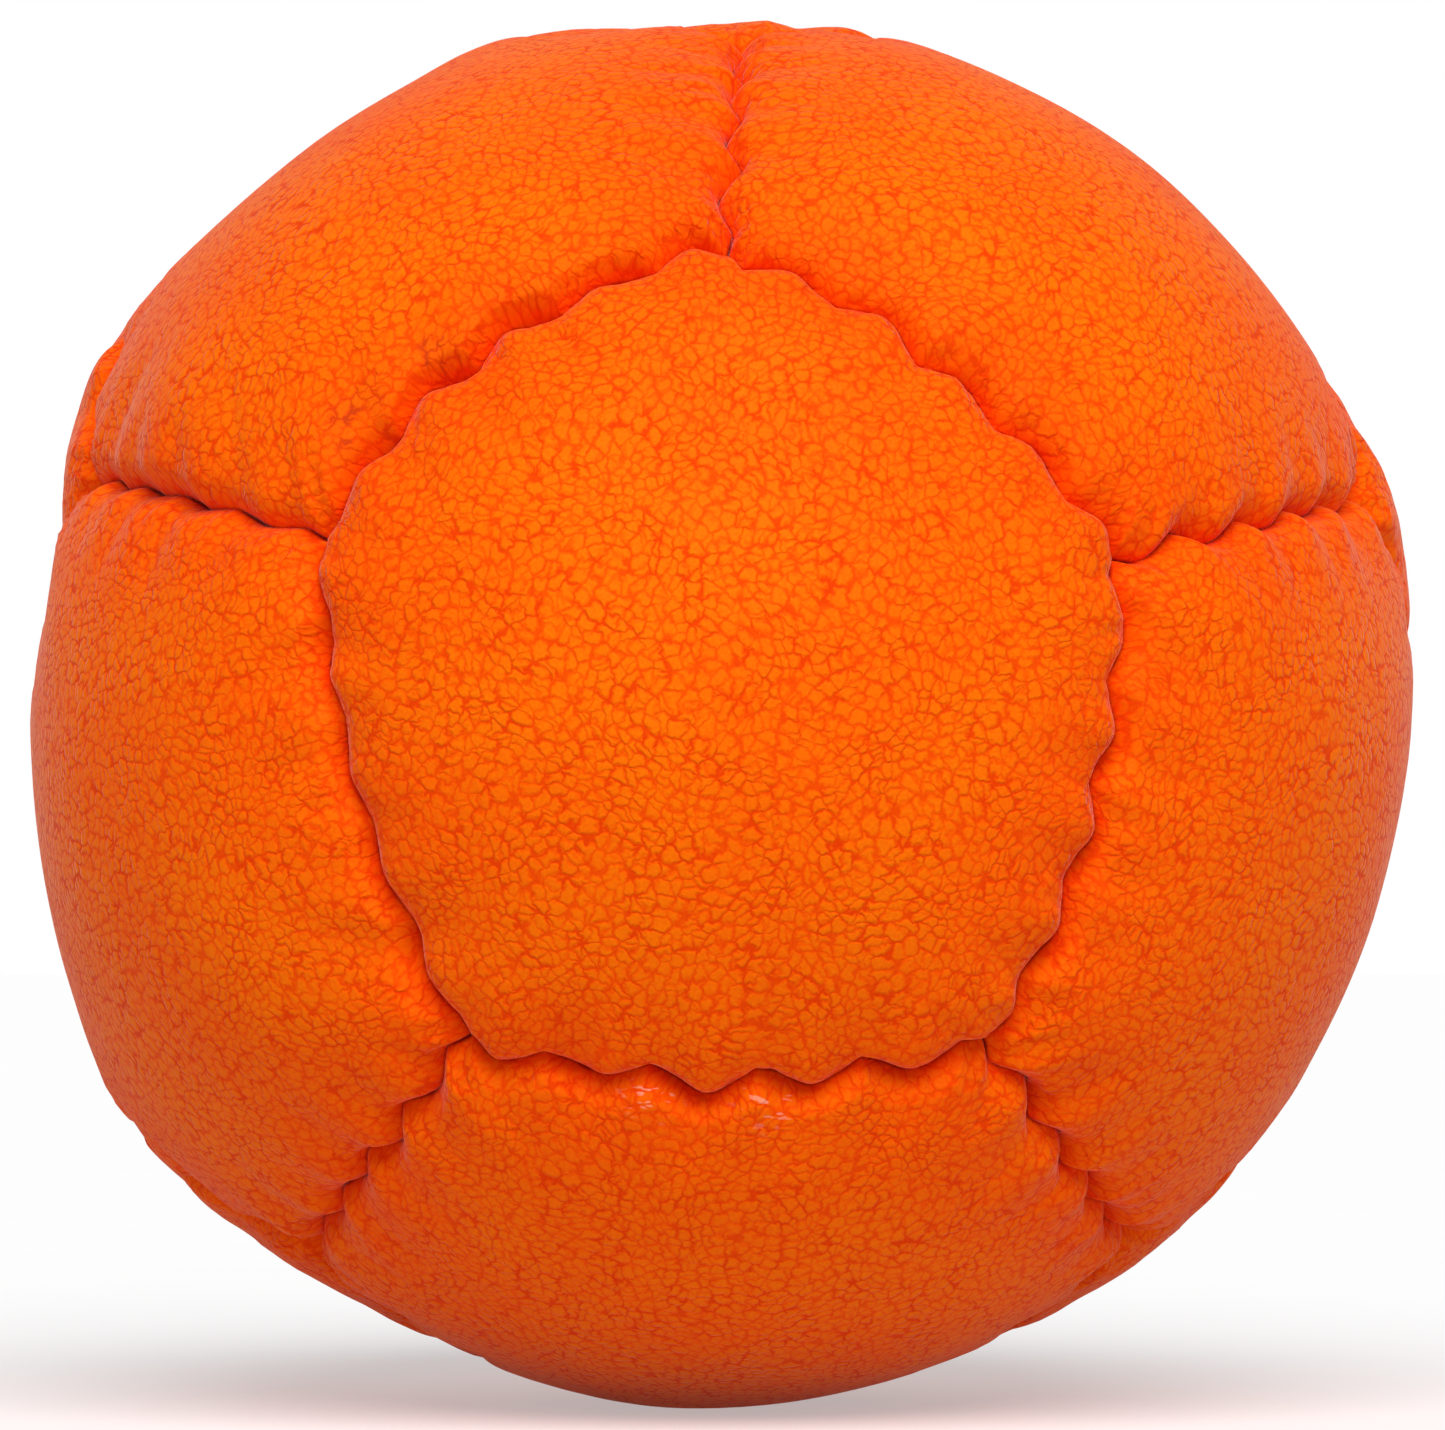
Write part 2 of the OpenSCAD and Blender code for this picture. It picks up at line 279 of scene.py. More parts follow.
class Seams:
    """Where the seams of the ball run, in millimetres, from the sizes."""

    def __init__(self, sizes):
        self.sizes = sizes
        self.ball_r = -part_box("front_panel")[0].y / MM
        self.puff = sizes.puff / MM
        self.roll_depth = sizes.roll_depth / MM
        self.roll_width = sizes.roll_width / MM
        self.seam_r = self.ball_r - self.puff - self.roll_depth
        self.span = self.seam_r * math.tan(FACE_ANGLE / 2)

    def corner(self, a, b, c):
        """Direction of the corner where three panels meet."""
        way = unit(FACES[a] + FACES[b] + FACES[c])
        place = place_of(way, TOP_TURN)
        drift = np.zeros(3)
        if min(a, b, c) == 0:
            drift = np.array([self.sizes.front_drift_x[place], 0, self.sizes.front_drift_z[place]])
        elif way[1] < 0:
            turn = math.atan2(way[2], way[0])
            drift = self.sizes.ring_drift[place] * aim(math.pi / 2, turn + math.pi / 2)
        return unit(way * self.seam_r + drift / MM)

    def swing(self, face, other, t):
        """Swing of a seam away from a face, at shares t of its way round that face."""
        low, high = min(face, other), max(face, other)
        keys = np.stack([np.full(LOBES, low), np.full(LOBES, high), np.arange(LOBES)], axis=1)
        scallop = SCALLOPS.get((low, high), self.sizes.scallop / MM)
        lobes = scallop * (0.5 + hash_of(keys, 3)) * (-1) ** np.arange(LOBES)
        shares = [0, *(np.arange(LOBES) + 0.5) / LOBES, 1]
        values = np.array([0, *lobes, 0])
        along = t if face == low else 1 - t
        left = np.clip(np.searchsorted(shares, along, side="right") - 1, 0, LOBES)
        here, after = values[left], values[left + 1]
        part = (along - np.take(shares, left)) / np.diff(shares)[left]
        # Sharp where the seam comes nearest to the lower numbered panel, round where it is off it
        sharp = np.where(here < after, np.sin(part * math.pi / 2), 1 - np.cos(part * math.pi / 2))
        part = (1 - CUSPS) * ease(part) + CUSPS * sharp
        swing = here * (1 - part) + after * part
        if low == 0:
            place = place_of(FACES[high], TOP_TURN - SIDE_TURN / 2)
            swing = swing + self.sizes.front_bow[place] / MM * 4 * t * (1 - t)
        return swing if face == low else -swing

    def way(self, face, side, t, swinging):
        """Directions of the seam on a side of a face, at shares t of its length."""
        near = NEIGHBOURS[face]
        start = self.corner(face, near[side - 1], near[side])
        end = self.corner(face, near[side], near[(side + 1) % SIDES])
        angle = math.acos(start @ end)
        arc = np.outer(np.sin((1 - t) * angle), start) + np.outer(np.sin(t * angle), end)
        arc = arc / math.sin(angle) * self.seam_r
        if swinging:
            other = near[side]
            arc = arc + np.outer(self.swing(face, other, t), unit(FACES[other] - FACES[face]))
        return unit(arc)

    def rim(self, face, side, t, swinging):
        """The same, laid out flat in front of a unit ball."""
        way = self.way(face, side, t, swinging)
        return way / (way @ FACES[face])[:, None] - FACES[face]

    def pull(self, face, side, t):
        """How strongly stitches pull at shares t of a side: 1 at a stitch of middling strength."""
        other = NEIGHBOURS[face][side]
        low, high = min(face, other), max(face, other)
        phase = (t if face == low else 1 - t) * LOBES / 2
        stitch = np.round(phase).astype(np.int64)
        keys = np.stack([np.full(len(t), low), np.full(len(t), high), stitch], axis=1)
        at_corner = (stitch == 0) | (stitch == LOBES // 2)
        strength = np.where(at_corner, 1.0, 0.4 + 1.2 * hash_of(keys, 7))
        return strength * ((1 + np.cos(2 * math.pi * phase)) / 2) ** 2


def body_lumps(ways, seams):
    """Unevenness of the stuffed ball in the given directions, in mm."""
    uneven = seams.sizes.unevenness / MM
    points = ways * seams.ball_r
    total = uneven * (0.7 * noise(points, 9.0, 11) + 0.3 * noise(points, 3.6, 12))
    for turn, height, width in OUTLINE_LUMPS:
        place = aim(math.pi / 2, math.radians(turn)) * seams.ball_r
        away = np.linalg.norm(points - place, axis=1) / width
        total = total + height * np.exp(-away ** 2)
    return total


def ring_points(rings):
    """For each vertex of a panel: its ring, its side and its share along that side."""
    ring = [0]
    side = [0]
    share = [0.0]
    for i in range(1, rings + 1):
        for k in range(SIDES):
            ring += [i] * (2 * i)
            side += [k] * (2 * i)
            share += [j / (2 * i) for j in range(2 * i)]
    return np.array(ring), np.array(side), np.array(share)


def ring_start(ring):
    """Index of the first vertex of a ring."""
    return 1 + SIDES * ring * (ring - 1)


def grid_vertex(u, v, k):
    """Index of the vertex at a place in one of the five square grids that share the crown."""
    ring = np.maximum(u, v)
    along = np.where(u == ring, v, 2 * ring - u)
    place = (2 * k * ring - ring + along) % (2 * SIDES * np.maximum(ring, 1))
    return np.where(ring == 0, 0, ring_start(ring) + place)


def grid_place(rings):
    """For each vertex of a panel: its place in a square grid, and the number of that grid."""
    ring, side, share = ring_points(rings)
    full = 2 * np.maximum(ring, 1)
    place = np.round((side + share) * full).astype(np.int64) + ring
    k = place // full % SIDES
    along = place - place // full * full
    u = np.where(along <= ring, ring, 2 * ring - along)
    v = np.where(along <= ring, along, ring)
    return u, v, k


def ring_quads(rings):
    """The quads of a panel: five square grids that share the crown."""
    a, b = np.meshgrid(np.arange(rings), np.arange(rings), indexing="ij")
    a, b = a.ravel(), b.ravel()
    return np.concatenate([
        np.stack([grid_vertex(a, b, k), grid_vertex(a + 1, b, k), grid_vertex(a + 1, b + 1, k),
                  grid_vertex(a, b + 1, k)], axis=1)
        for k in range(SIDES)
    ])


def spread(values, coarse, fine):
    """Values of a coarse panel's vertices, carried over to the vertices of a fine one."""
    u, v, k = grid_place(fine)
    u, v = u * coarse / fine, v * coarse / fine
    a = np.minimum(u.astype(np.int64), coarse - 1)
    b = np.minimum(v.astype(np.int64), coarse - 1)
    u, v = u - a, v - b
    return (
        values[grid_vertex(a, b, k)] * (1 - u) * (1 - v)
        + values[grid_vertex(a + 1, b, k)] * u * (1 - v)
        + values[grid_vertex(a, b + 1, k)] * (1 - u) * v
        + values[grid_vertex(a + 1, b + 1, k)] * u * v
    )


class PanelShape:
    """The outer face of a panel in millimetres, with what its finish reads."""

    def __init__(self, seams, face, rings, swell=0.0):
        self.seams = seams
        self.face = face
        self.swell = swell
        ring, self.side, self.share = ring_points(rings)
        out = 1 - ring / rings
        self.inset = seams.span * (EVEN_RINGS * out + (1 - EVEN_RINGS) * out ** 2)
        self.ways = self.surface_ways()
        self.radius = self.surface_radius()

    def surface_ways(self):
        """Direction of each vertex: the rings round off from the rim to the crown."""
        edge = np.zeros((len(self.inset), 3))
        for k in range(SIDES):
            here = self.side == k
            wavy = self.seams.rim(self.face, k, self.share[here], True)
            plain = self.seams.rim(self.face, k, self.share[here], False)
            fade = np.exp(-(self.inset[here] / WAVE_REACH) ** 2)[:, None]
            edge[here] = plain + (wavy - plain) * fade
        keep = (1 - self.inset / self.seams.span)[:, None]
        rounded = edge * keep + unit(edge) * ROUND_SIZE * (1 - keep)
        return unit(FACES[self.face] + rounded * keep)

    def base_radius(self):
        """The plain dome with its rolled edge, as the solid has it."""
        seams = self.seams
        return seams.ball_r - seams.puff * (1 - self.inset / seams.span) ** 2 - self.roll()

    def roll(self):
        """How far the leather has turned in towards the seam."""
        out = np.clip(1 - self.inset / self.seams.roll_width, 0, 1)
        return self.seams.roll_depth * out ** ROLL_CURVE

    def pull(self):
        """How strongly stitches pull beside each vertex."""
        pull = np.zeros(len(self.inset))
        for k in range(SIDES):
            here = self.side == k
            pull[here] = self.seams.pull(self.face, k, self.share[here])
        return pull * np.exp(-self.inset / PULL_REACH)

    def flat_place(self):
        """The panel laid flat, in mm, each panel on a stretch of leather of its own."""
        n = FACES[self.face]
        right = unit(FACES[NEIGHBOURS[self.face][0]] - n * math.cos(FACE_ANGLE))
        up = np.cross(n, right)
        angle = np.arccos(np.clip(self.ways @ n, -1, 1))
        turn = np.arctan2(self.ways @ up, self.ways @ right)
        out = angle * self.seams.ball_r + ROLL_TAKEN_UP * self.roll()
        own = PANEL_STEP * (1 + self.face)
        return np.stack([out * np.cos(turn) + own, out * np.sin(turn), 0 * out], axis=1)

    def crease_place(self):
        """Place round the rim, on a circle as long as it that shrinks slowly with the inset."""
        circle = self.seams.span * 1.1 - 0.22 * self.inset
        turn = (self.side + self.share) * SIDE_TURN
        own = PANEL_STEP * (1 + self.face)
        return np.stack([circle * np.cos(turn) + own, circle * np.sin(turn), 0 * turn], axis=1)

    def puckers(self):
        """Creases that run away from the seam and die out."""
        place = self.crease_place()
        creases = np.maximum(noise(place, 0.9, 20 + self.face), 0) ** 1.5
        creases = creases + 0.7 * np.maximum(noise(place, 1.9, 40 + self.face), 0) ** 1.5
        patches = ease(0.5 + 0.9 * noise(self.ways * self.seams.ball_r, 5.0, 60))
        fade = np.exp(-(self.inset / 2.6) ** 1.5) * (1 - np.exp(-self.inset / 0.35))
        return self.seams.sizes.pucker / MM * creases * patches * fade * 2

    def panel_lumps(self):
        """Bulges and dents inside this panel, in mm, which leave its seams alone."""
        total = np.zeros(len(self.inset))
        points = self.ways * self.seams.ball_r
        for face, angle, turn, height, width in PANEL_LUMPS:
            if face == self.face:
                place = aim(math.radians(angle), math.radians(turn)) * self.seams.ball_r
                away = np.linalg.norm(points - place, axis=1) / width
                total += height * np.exp(-away ** 2)
        return total * ease(self.inset / 1.5)

    def stuffed_radius(self):
        """The dome with the unevenness of the filling, without its puckers."""
        return self.base_radius() + body_lumps(self.ways, self.seams) + self.panel_lumps()

    def surface_radius(self):
        dents = self.pull() * self.seams.sizes.stitch_pull / MM
        return self.stuffed_radius() - dents - self.puckers() + self.swell

    def points(self):
        return self.ways * self.radius[:, None]


def strip(outer, inner):
    """Triangles between two rings of indices, the outer one with a whole number more."""
    step = len(outer) // len(inner)
    faces = []
    for i, here in enumerate(inner):
        after = inner[(i + 1) % len(inner)]
        for j in range(step):
            a = outer[i * step + j]
            b = outer[(i * step + j + 1) % len(outer)]
            faces.append((b, a, here))
        faces.append((here, after, outer[(i + 1) * step % len(outer)]))
    return faces


def quad_band(upper, lower):
    """Quads between two rings of indices with as many points."""
    a, b = np.roll(upper, -1), np.roll(lower, -1)
    return np.stack([upper, lower, b, a], axis=1).tolist()


def closed_panel(seams, face, swell):
    """Vertices and faces of one panel: outer face, turned-in edge and lining."""
    outer = PanelShape(seams, face, RINGS, swell)
    lining = PanelShape(seams, face, LINING_RINGS)
    skin = seams.sizes.skin / MM
    # The lining starts one leather thickness in from the rim and keeps that depth
    lining.inset = skin + lining.inset * (1 - skin / seams.span)
    lining.ways = lining.surface_ways()
    lining_points = lining.ways * (lining.stuffed_radius() - skin)[:, None]

    rim = np.arange(ring_start(RINGS), ring_start(RINGS + 1))
    lining_rim = np.arange(ring_start(LINING_RINGS), ring_start(LINING_RINGS + 1))
    foot_radius = seams.seam_r - seams.sizes.allowance / MM
    foot = outer.ways[rim] * foot_radius
    lining_foot = lining.ways[lining_rim] * foot_radius
    points = np.concatenate([outer.points(), foot, lining_foot, lining_points])

    foot_ids = len(outer.ways) + np.arange(len(rim))
    lining_foot_ids = foot_ids[-1] + 1 + np.arange(len(lining_rim))
    first = lining_foot_ids[-1] + 1
    faces = ring_quads(RINGS).tolist()
    faces += quad_band(rim, foot_ids)
    faces += strip(foot_ids, lining_foot_ids)
    faces += quad_band(lining_foot_ids, first + lining_rim)
    faces += (first + ring_quads(LINING_RINGS)[:, ::-1]).tolist()
    return outer, points, faces


def mesh_object(name, points, faces):
    """A new object at the origin from points in millimetres."""
    mesh = bpy.data.meshes.new(name)
    mesh.from_pydata((points * MM).tolist(), [], faces)
    mesh.update()
    mesh.shade_smooth()
    piece = bpy.data.objects.new(name, mesh)
    bpy.context.scene.collection.objects.link(piece)
    return piece


def weigh(piece, name, weights):
    """A vertex group with a weight for each vertex."""
    group = piece.vertex_groups.new(name=name)
    for level in np.unique(weights):
        group.add(np.flatnonzero(weights == level).tolist(), float(level), "REPLACE")


def stuff_panels(seams):
    """How far the leather of each panel swells and puckers under the pressure of the filling.

    The outer faces are simulated as cloth that is held along the seams and cut a little too
    full beside them. Returns the swelling in mm for each panel, on the fine grid.
    """
    shapes = [PanelShape(seams, face, CLOTH_RINGS) for face in range(len(FACES))]
    start = np.concatenate([shape.points() for shape in shapes])
    quads = np.concatenate([
        ring_quads(CLOTH_RINGS) + face * len(shapes[0].ways) for face in range(len(FACES))
    ])
    skin = mesh_object("stuffed_skin", start * CLOTH_SCALE, quads.tolist())
    inset = np.concatenate([shape.inset for shape in shapes])
    weigh(skin, "held", (inset == 0).astype(float))
    weigh(skin, "full", np.round(np.exp(-inset / CLOTH_FULL_WIDTH), 2))

    cloth = skin.modifiers.new("cloth", "CLOTH")
    settings = cloth.settings
    settings.quality = 5
    settings.use_pressure = True
    settings.uniform_pressure_force = 4.0
    settings.vertex_group_mass = "held"
    settings.vertex_group_shrink = "full"
    settings.shrink_min = 0.0
    settings.shrink_max = -CLOTH_FULLNESS
    settings.tension_stiffness = 40.0
    settings.compression_stiffness = 40.0
    settings.bending_stiffness = 0.2
    settings.effector_weights.gravity = 0.0
    for number in range(1, CLOTH_FRAMES + 1):
        bpy.context.scene.frame_set(number)

    stuffed = skin.evaluated_get(bpy.context.evaluated_depsgraph_get()).data
    end = np.empty(len(start) * 3, np.float32)
    stuffed.vertices.foreach_get("co", end)
    mesh = skin.data
    bpy.data.objects.remove(skin)
    bpy.data.meshes.remove(mesh)
    bpy.context.scene.frame_set(1)

    ways = unit(start)
    swell = ((end.reshape(-1, 3) / MM / CLOTH_SCALE - start) * ways).sum(axis=1)
    swell = swell.reshape(len(FACES), -1)
    # The even part of the swelling is in the shape that the panels already have
    ring = ring_points(CLOTH_RINGS)[0]
    even = np.bincount(ring, swell.mean(axis=0)) / np.bincount(ring)
    swell = np.clip(swell - even[ring], -CLOTH_CAP, CLOTH_CAP)
    return [spread(values, CLOTH_RINGS, RINGS) for values in swell]


def store(piece, name, values, inside):
    """Keeps a value per vertex for the finish; the hidden vertices get the last one."""
    values = np.concatenate([values, np.repeat(values[-1:], inside, axis=0)])
    kind = "FLOAT_VECTOR" if values.ndim == 2 else "FLOAT"
    layer = piece.data.attributes.new(name, kind, "POINT")
    key = "vector" if values.ndim == 2 else "value"
    layer.data.foreach_set(key, values.astype(np.float32).ravel())


class Wire:
    """A shader socket that Python arithmetic works on."""

    def __init__(self, tree, socket):
        self.tree = tree
        self.socket = socket

    def math(self, operation, *values):
        node = self.tree.nodes.new("ShaderNodeMath")
        node.operation = operation
        for slot, value in zip(node.inputs, values):
            plug(self.tree, slot, value)
        return Wire(self.tree, node.outputs[0])

    def __add__(self, other):
        return self.math("ADD", self, other)

    def __sub__(self, other):
        return self.math("SUBTRACT", self, other)

    def __rsub__(self, other):
        return self.math("SUBTRACT", other, self)

    def __mul__(self, other):
        return self.math("MULTIPLY", self, other)

    __radd__ = __add__
    __rmul__ = __mul__

    def ramp(self, low, high):
        """0 up to low, 1 from high, and smooth between them."""
        node = self.tree.nodes.new("ShaderNodeMapRange")
        node.interpolation_type = "SMOOTHSTEP"
        for slot, value in zip(node.inputs, (self, low, high, 0.0, 1.0)):
            plug(self.tree, slot, value)
        return Wire(self.tree, node.outputs[0])


def plug(tree, slot, value):
    """Links a wire to a socket, or sets the socket's own value."""
    if isinstance(value, Wire):
        tree.links.new(value.socket, slot)
    elif slot.type == "RGBA" and len(value) == 3:
        slot.default_value = (*value, 1.0)
    else:
        slot.default_value = value


class Finish:
    """A material in the making: its node tree and the node that shades it."""

    def __init__(self, name, **constants):
        self.material = bpy.data.materials.new(name)
        self.material.use_nodes = True
        self.tree = self.material.node_tree
        self.shader = self.tree.nodes["Principled BSDF"]
        for socket, value in constants.items():
            plug(self.tree, self.shader.inputs[socket.replace("_", " ")], value)

    def add(self, kind, settings=(), output=0, **sockets):
        """Any node: its settings, then the values or links of its sockets."""
        node = self.tree.nodes.new(kind)
        for name, value in dict(settings).items():
            setattr(node, name, value)
        for name, value in sockets.items():
            plug(self.tree, node.inputs[name.replace("_", " ")], value)
        return Wire(self.tree, node.outputs[output])

    def attribute(self, name, output="Fac"):
        return self.add("ShaderNodeAttribute", {"attribute_name": name}, output)

    def mix(self, share, low, high, blend="MIX"):
        node = self.tree.nodes.new("ShaderNodeMix")
        node.data_type = "RGBA"
        node.blend_type = blend
        plug(self.tree, node.inputs["Factor"], share)
        colours = [slot for slot in node.inputs if slot.type == "RGBA"]
        plug(self.tree, colours[0], low)
        plug(self.tree, colours[1], high)
        return Wire(self.tree, next(o for o in node.outputs if o.type == "RGBA"))

    def vector(self, operation, *values):
        node = self.tree.nodes.new("ShaderNodeVectorMath")
        node.operation = operation
        for slot, value in zip(node.inputs, values):
            plug(self.tree, slot, value)
        return Wire(self.tree, node.outputs[0])

    def millimetres(self):
        """The place on the object, in millimetres."""
        place = self.add("ShaderNodeTexCoord", output="Object")
        return self.vector("MULTIPLY", place, (1 / MM,) * 3)

    def noise(self, place, scale, detail=1.0, output="Fac", dimensions="2D"):
        return self.add(
            "ShaderNodeTexNoise", {"noise_dimensions": dimensions}, output, Vector=place,
            Scale=scale, Detail=detail)

    def cells(self, place, scale, feature):
        """Distances in a flat pattern of cells: from their middles or from their edges."""
        return self.add(
            "ShaderNodeTexVoronoi", {"voronoi_dimensions": "2D", "feature": feature}, "Distance",
            Vector=place, Scale=scale)

    def near(self, place, angle, turn, size):
        """1 at a spot on the ball (degrees), falling to 0 at a distance of the given size."""
        spot = aim(math.radians(angle), math.radians(turn)) * SPOT_RADIUS
        node = self.tree.nodes.new("ShaderNodeVectorMath")
        node.operation = "DISTANCE"
        plug(self.tree, node.inputs[0], place)
        plug(self.tree, node.inputs[1], tuple(spot))
        return 1 - Wire(self.tree, node.outputs["Value"]).ramp(size * 0.2, size)

    def set(self, socket, value):
        plug(self.tree, self.shader.inputs[socket], value)

    def bump(self, height):
        """Shades the surface as if it stood out by a height in millimetres."""
        self.set("Normal", self.add("ShaderNodeBump", Distance=MM, Height=height))


def leather_finish(colours):
    """Pebble-grained leather, redder in the valleys of its grain, with painted light and shade:
    yellower crowns and pebble tops, and redder margins, creases and seams.
    """
    finish = Finish(
        "orange_leather", IOR=1.45, Specular_IOR_Level=0.02,
        Sheen_Weight=0.24, Sheen_Roughness=0.27, Sheen_Tint=(1.0, 0.85, 0.8))
    inset = finish.attribute("inset")
    pull = finish.attribute("pull")
    place = finish.attribute("flat_place", "Vector")
    along_seam = finish.attribute("crease_place", "Vector")

    # Pebbles: small round domes, and soft valleys that fade in and out. The leather is
    # stretched here and there, and so are its pebbles
    stretch = finish.noise(place, 0.22, 0.0, "Color")
    stretched = finish.vector("MULTIPLY_ADD", stretch, (1.3,) * 3, place)
    warp = finish.noise(place, 1.9, 0.0, "Color")
    warped = finish.vector("MULTIPLY_ADD", warp, (0.36,) * 3, stretched)
    ripple = finish.noise(place, 4.5, 0.0, "Color")
    warped = finish.vector("MULTIPLY_ADD", ripple, (0.14,) * 3, warped)
    middle = finish.cells(warped, GRAIN, "F1")
    patches = finish.noise(place, 0.5, 1.0)
    fine = finish.noise(place, 6.0, 1.0)
    slack = patches.ramp(0.36, 0.64)
    # Taking off the middle's distance rounds the corners of the pebbles
    edge = finish.cells(warped, GRAIN, "DISTANCE_TO_EDGE") - 0.13 * middle.ramp(0.3, 0.75)
    edge = edge + 0.05 * (fine - 0.5) + 0.2 * (finish.noise(place, 1.2, 0.0) - 0.5)
    valley = (1 - edge.ramp(-0.1, 0.05)) * (0.55 + 0.4 * slack)
    top = edge.ramp(0.0, 0.28)

    # Creases that run away from the seams
    wander = finish.vector("MULTIPLY_ADD", warp, (0.6,) * 3, along_seam)
    # They follow the line where the noise is at its middle level
    level = finish.noise(wander, 0.9, 0.0) - 0.5
    crease = 1 - (level * level).ramp(0.0, 0.006)
    beside = (1 - inset.ramp(0.8, 3.2)) * inset.ramp(0.2, 0.6)
    crease = crease * beside * patches.ramp(0.45, 0.6)

    # Colour: painted light makes the crowns yellower and painted shade makes the margins redder,
    # with tone that differs at random; the valleys of the grain are redder
    crown = inset.ramp(1.5, 9.0) * 0.6 + 0.4 * finish.noise(place, 0.12, 0.0).ramp(0.35, 0.65)
    colour = finish.mix(crown, tuple(colours.margin), tuple(colours.crown))
    # Painted highlight and shade on each pebble: lighter and yellower on its top, darker towards
    # its valleys
    pebble_light_and_shade = finish.mix(top, (1.0, 0.87, 0.74), (1.0, 1.27, 1.22))
    colour = finish.mix(1.0, colour, pebble_light_and_shade, "MULTIPLY")
    colour = finish.mix(valley, colour, tuple(colours.valley))
    # Painted shade in the creases: they take in some of the valleys' darker colour
    colour = finish.mix(crease * 0.25, colour, tuple(colours.valley))
    mottle = finish.mix(fine, (0.9, 0.78, 0.8), (1.0, 1.2, 1.2))
    colour = finish.mix(1.0, colour, mottle, "MULTIPLY")
    # Painted shade and bounced light down in the seams: the leather turns redder near the seam
    # line, more in some patches than others
    down = (1 - inset.ramp(0.0, 0.8)) * (0.2 + 0.5 * patches.ramp(0.4, 0.6))
    colour = finish.mix(down, colour, tuple(colours.seam_shade))
    # Painted shade: a dark red line along the gap of each seam, darker where a stitch pulls it in
    painted_gap_shade = (1 - inset.ramp(0.03, 0.18)) * (0.3 + 0.6 * pull.ramp(0.1, 0.6))
    colour = finish.mix(painted_gap_shade, colour, (0.42, 0.01, 0.002))

    # Wear: dirt that sits in the valleys, and short pale scuffs
    spot = finish.millimetres()
    for angle, turn, size in SMUDGES:
        dirt = finish.near(spot, angle, turn, size) * patches.ramp(0.35, 0.55)
        colour = finish.mix(dirt * (0.06 + 0.4 * valley), colour, (0.3, 0.05, 0.01))
    streaks = finish.noise(finish.vector("MULTIPLY", spot, (1.0, 1.0, 3.0)), 1.6, 1.0,
        dimensions="3D")
    for angle, turn, size in SCUFFS:
        scuff = finish.near(spot, angle, turn, size) * streaks.ramp(0.6, 0.68)
        colour = finish.mix(scuff * inset.ramp(0.3, 0.7) * 0.7, colour, (1.0, 0.42, 0.28))
    finish.set("Base Color", colour)
    finish.set("Roughness", 0.5 + 0.2 * valley + 0.1 * fine)

    pebbles = edge.ramp(-0.12, 0.3) * 0.042
    finish.bump(pebbles * (0.5 + 0.5 * slack) + 0.006 * fine - 0.025 * crease)
    return finish.material


def plain_finish(name, colour, roughness, grain):
    """A matte finish with a fine mottle of its own colour."""
    finish = Finish(name, Roughness=roughness)
    mottle = finish.noise(finish.millimetres(), grain, 3.0, dimensions="3D")
    dark = tuple(0.7 * c for c in colour)
    finish.set("Base Color", finish.mix(mottle.ramp(0.35, 0.65), dark, tuple(colour)))
    finish.bump(0.1 * mottle)
    return finish.material


class BALL_OT_sew_panels(bpy.types.Operator):
    """Make the twelve leather panels and set them in place of the plain solids"""

    bl_idname = "ball.sew_panels"
    bl_label = "Sew the panels"

    def execute(self, context):
        seams = Seams(context.scene.ball_sizes)
        leather = leather_finish(context.scene.ball_finish)
        swells = stuff_panels(seams)
        for face, node in enumerate(PANELS):
            shape, points, faces = closed_panel(seams, face, swells[face])
            piece = mesh_object(node + "_leather", points, faces)
            inside = len(points) - len(shape.ways)
            store(piece, "inset", shape.inset, inside)
            store(piece, "pull", shape.pull(), inside)
            store(piece, "flat_place", shape.flat_place(), inside)
            store(piece, "crease_place", shape.crease_place(), inside)
            piece.data.materials.append(leather)
            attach(piece, "root")
            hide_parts(node)
        return {"FINISHED"}


class BALL_OT_finish_inside(bpy.types.Operator):
    """Give the filling and the thread inside the ball their finishes"""

    bl_idname = "ball.finish_inside"
    bl_label = "Finish the filling and thread"

    def execute(self, context):
        colours = context.scene.ball_finish
        finishes = {
            "filling": plain_finish("granules", colours.granules, roughness=0.9, grain=0.9),
            "seam_thread": plain_finish("orange_thread", colours.thread, roughness=0.8, grain=4.0),
        }
        for node, material in finishes.items():
            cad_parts[node].material_slots[0].material = material
        return {"FINISHED"}


# The photo's frame in pixels, and where the ball lies in it
PHOTO_W = 1445
PHOTO_H = 1430
BALL_CENTRE_PX = (720, 712)
BALL_RADIUS_PX = 700
CAMERA_DISTANCE = 0.32
CAMERA_ELEVATION = math.radians(-2.1)
CAMERA_AZIMUTH = math.radians(-0.3)
SENSOR = 36.0


def point_at(thing, target):
    thing.rotation_euler = (Vector(target) - thing.location).to_track_quat("-Z", "Y").to_euler()


def add_camera(ball_r):
    """The photo's view: nearly along the front panel's axis, from a little below it."""
    camera = bpy.data.objects.new("camera", bpy.data.cameras.new("camera"))
    bpy.context.scene.collection.objects.link(camera)
    level = CAMERA_DISTANCE * math.cos(CAMERA_ELEVATION)
    camera.location = (
        level * math.sin(CAMERA_AZIMUTH), -level * math.cos(CAMERA_AZIMUTH),
        CAMERA_DISTANCE * math.sin(CAMERA_ELEVATION),
    )
    point_at(camera, (0, 0, 0))
    focal_px = BALL_RADIUS_PX * math.sqrt(CAMERA_DISTANCE ** 2 - ball_r ** 2) / ball_r
    camera.data.sensor_width = SENSOR
    camera.data.lens = SENSOR * focal_px / PHOTO_W
    camera.data.shift_x = (PHOTO_W / 2 - BALL_CENTRE_PX[0]) / PHOTO_W
    camera.data.shift_y = (BALL_CENTRE_PX[1] - PHOTO_H / 2) / PHOTO_W
    camera.data.clip_start = 0.01
    bpy.context.scene.camera = camera


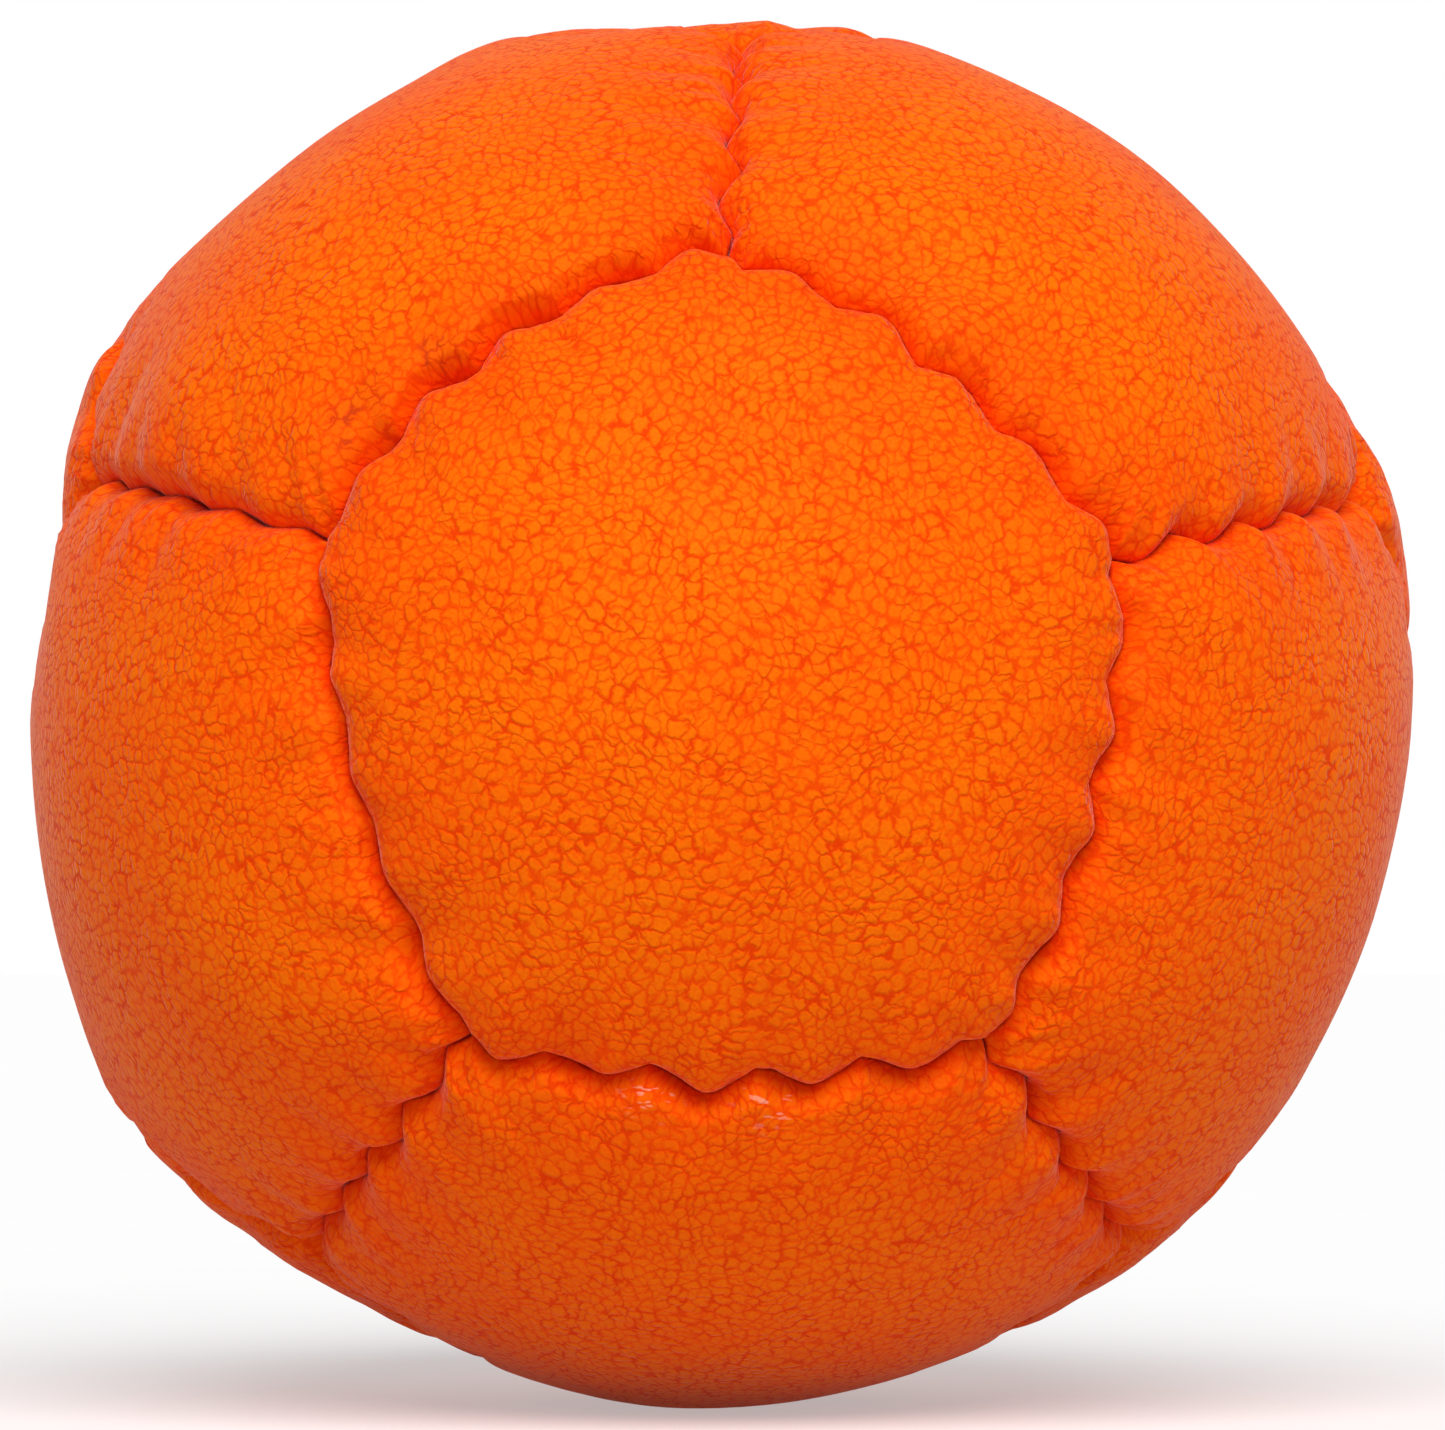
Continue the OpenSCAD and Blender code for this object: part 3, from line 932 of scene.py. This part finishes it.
def add_sky_light(name, turn, elevation, softness, level):
    """A broad distant light, its place and breadth in degrees.

    A level of 1 shows a surface that faces it as it is coloured.
    """
    lamp = bpy.data.lights.new(name, "SUN")
    lamp.angle = math.radians(softness)
    lamp.energy = math.pi * level
    light = bpy.data.objects.new(name, lamp)
    bpy.context.scene.collection.objects.link(light)
    turn, elevation = math.radians(turn), math.radians(elevation)
    light.location = (
        math.sin(turn) * math.cos(elevation), -math.cos(turn) * math.cos(elevation),
        math.sin(elevation),
    )
    point_at(light, (0, 0, 0))


def white_world(ambient):
    """White to the camera and in reflections, and a soft even light otherwise."""
    world = bpy.data.worlds.new("studio")
    world.use_nodes = True
    tree = world.node_tree
    path = tree.nodes.new("ShaderNodeLightPath")
    seen = Wire(tree, path.outputs["Is Camera Ray"])
    for ray in ("Is Glossy Ray", "Is Transmission Ray"):
        seen = seen.math("MAXIMUM", seen, Wire(tree, path.outputs[ray]))
    background = tree.nodes["Background"]
    plug(tree, background.inputs["Color"], (1.0, 1.0, 1.0))
    plug(tree, background.inputs["Strength"], ambient + seen * (1 - ambient))
    bpy.context.scene.world = world


def pale_floor_finish():
    """Matte and pale, and lifted towards white where only the camera sees it."""
    finish = Finish("pale_floor", Roughness=0.9, Specular_IOR_Level=0.0, Emission_Strength=1.0)
    speckle = finish.noise(finish.millimetres(), 0.05, 2.0, dimensions="3D")
    finish.set("Base Color", finish.mix(speckle, (0.6, 0.6, 0.6), (0.62, 0.62, 0.62)))
    camera_ray = finish.add("ShaderNodeLightPath", output="Is Camera Ray")
    finish.set("Emission Color", finish.mix(camera_ray, (0.1,) * 3, (0.4,) * 3))
    return finish.material


class BALL_OT_lay_stage(bpy.types.Operator):
    """Lay the pale floor, hang the soft lights and set up the camera"""

    bl_idname = "ball.lay_stage"
    bl_label = "Lay the stage"

    def execute(self, context):
        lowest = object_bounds()[0].z
        bpy.ops.object.select_all(action="DESELECT")
        bpy.ops.mesh.primitive_plane_add(size=40.0, location=(0, 0, lowest))
        floor = context.active_object
        floor.name = "floor"
        floor.data.materials.append(pale_floor_finish())
        floor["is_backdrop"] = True
        white_world(ambient=0.31)
        add_sky_light("key_light", turn=5, elevation=46, softness=50, level=0.9)
        add_camera(-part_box("front_panel")[0].y)
        context.scene.view_settings.view_transform = "Standard"
        return {"FINISHED"}


class BALL_PT_sidebar(bpy.types.Panel):
    """Sizes, colours and the steps that make the ball"""

    bl_idname = "BALL_PT_sidebar"
    bl_label = "Training ball"
    bl_space_type = "VIEW_3D"
    bl_region_type = "UI"
    bl_category = "Training ball"

    def draw(self, context):
        layout = self.layout
        for group in (context.scene.ball_sizes, context.scene.ball_finish):
            for name in group.__annotations__:
                layout.prop(group, name)
        for operator in OPERATORS:
            layout.operator(operator.bl_idname)


OPERATORS = (BALL_OT_sew_panels, BALL_OT_finish_inside, BALL_OT_lay_stage)
CLASSES = (BallSizes, BallFinish, *OPERATORS, BALL_PT_sidebar)


def register():
    for cls in CLASSES:
        bpy.utils.register_class(cls)
    bpy.types.Scene.ball_sizes = bpy.props.PointerProperty(type=BallSizes)
    bpy.types.Scene.ball_finish = bpy.props.PointerProperty(type=BallFinish)


def unregister():
    del bpy.types.Scene.ball_finish
    del bpy.types.Scene.ball_sizes
    for cls in reversed(CLASSES):
        bpy.utils.unregister_class(cls)


def main():
    register()
    bpy.ops.ball.sew_panels()
    bpy.ops.ball.finish_inside()
    bpy.ops.ball.lay_stage()


if __name__ == "__main__":
    main()
